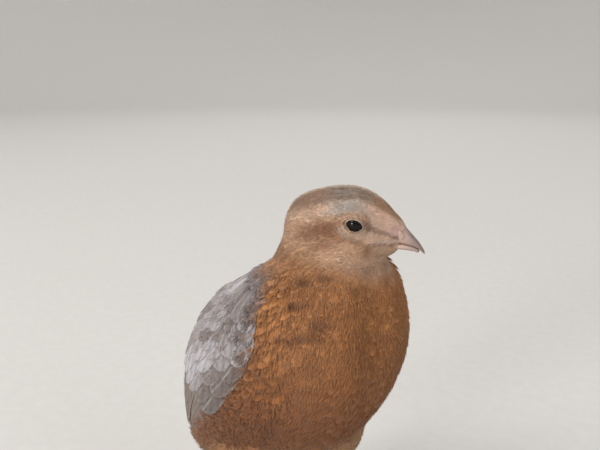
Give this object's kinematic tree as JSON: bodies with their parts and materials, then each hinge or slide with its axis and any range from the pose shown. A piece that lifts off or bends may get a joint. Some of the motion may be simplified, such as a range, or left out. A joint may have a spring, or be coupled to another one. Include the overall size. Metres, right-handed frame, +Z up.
{
  "type": "coturnix quail",
  "caption": "Life-size standing coturnix quail cock, upright with its head turned to its left, folded wings and a short tail.",
  "frame": {"origin": "on the floor under the middle of the bird's bounding box", "axes": "+X is the way the breast faces, +Y is the bird's own left, +Z is up; the head is turned forty degrees from +X towards +Y"},
  "size_m": [0.1054, 0.0746, 0.1488],
  "materials": {
    "breast_feathers": "soft matt cinnamon feathers",
    "face_feathers": "soft matt buff feathers with darker streaks",
    "back_feathers": "matt silver-grey feathers with pale shafts",
    "bill_horn": "smooth satin horn",
    "eye": "wet gloss",
    "shank_skin": "scaled satin skin",
    "claw_horn": "satin horn"
  },
  "bodies": {
    "root": {"torso": "breast_feathers", "neck": "face_feathers", "head": "face_feathers", "bill_upper": "bill_horn", "bill_lower": "bill_horn", "eye_left": "eye", "eye_right": "eye", "wing_left": "back_feathers", "wing_right": "back_feathers", "tail": "back_feathers", "thigh_left": "breast_feathers", "thigh_right": "breast_feathers", "shank_left": "shank_skin", "shank_right": "shank_skin", "toe_inner_left": "shank_skin", "claw_inner_left": "claw_horn", "toe_middle_left": "shank_skin", "claw_middle_left": "claw_horn", "toe_outer_left": "shank_skin", "claw_outer_left": "claw_horn", "toe_hind_left": "shank_skin", "claw_hind_left": "claw_horn", "toe_inner_right": "shank_skin", "claw_inner_right": "claw_horn", "toe_middle_right": "shank_skin", "claw_middle_right": "claw_horn", "toe_outer_right": "shank_skin", "claw_outer_right": "claw_horn", "toe_hind_right": "shank_skin", "claw_hind_right": "claw_horn"}
  },
  "joints": []
}
